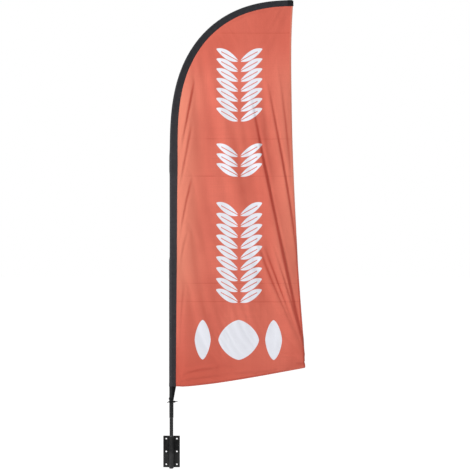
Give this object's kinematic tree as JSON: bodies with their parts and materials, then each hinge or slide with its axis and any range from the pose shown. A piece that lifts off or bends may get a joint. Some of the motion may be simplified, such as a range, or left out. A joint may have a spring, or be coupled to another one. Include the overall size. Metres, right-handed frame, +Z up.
{
  "type": "feather flag with pole",
  "caption": "Wall-mounted feather flag: a bent pole in a cloth sleeve with a knitted panel, lifting off a spindle that turns in a welded wall bracket.",
  "frame": {"origin": "centre of the wall plate's back face, which lies on the wall or post", "axes": "+Y into the wall, +Z up along the pole, +X from the pole towards the flag's outer edge"},
  "size_m": [0.857, 0.0354, 2.8094],
  "materials": {
    "painted_steel": "satin",
    "spindle_steel": "satin",
    "bare_steel": "satin",
    "bare_aluminium": "satin",
    "pole_lacquer": "gloss",
    "fibreglass": "satin",
    "black_plastic": "matte",
    "nylon": "satin",
    "black_cloth": "matte",
    "red_knit": "matte",
    "black_webbing": "matte",
    "black_cord": "matte"
  },
  "bodies": {
    "bracket": {"wall_plate": "painted_steel", "socket_tube": "painted_steel", "weld_bead_left": "painted_steel", "weld_bead_right": "painted_steel", "socket_end_plug": "black_plastic", "upper_bush": "nylon", "lower_bush": "nylon"},
    "spindle": {"spindle": "spindle_steel", "thrust_washer": "bare_steel", "retaining_clip": "bare_steel"},
    "pole": {"base_tube": "pole_lacquer", "spindle_stop": "nylon", "lower_ferrule": "bare_aluminium", "mid_tube": "pole_lacquer", "joint_collar": "bare_aluminium", "rod_bush": "black_plastic", "tip_rod": "fibreglass", "tip_cap": "black_plastic", "pole_sleeve": "black_cloth", "tip_pocket": "black_cloth", "flag_panel": "red_knit", "trailing_hem": "red_knit", "bottom_hem": "red_knit", "tail_strap": "black_webbing", "strap_loop": "black_webbing", "tie_cord": "black_cord", "tie_knot": "black_cord", "tie_tail": "black_cord"}
  },
  "joints": [
    {"name": "spindle_spin", "type": "hinge", "parent": "bracket", "child": "spindle", "pos_m": [0, -0.0178, 0], "axis": [0, 0, 1], "continuous": true},
    {"name": "pole_lift", "type": "slide", "parent": "spindle", "child": "pole", "axis": [0, 0, 1], "range_m": [0, 0.11]}
  ]
}
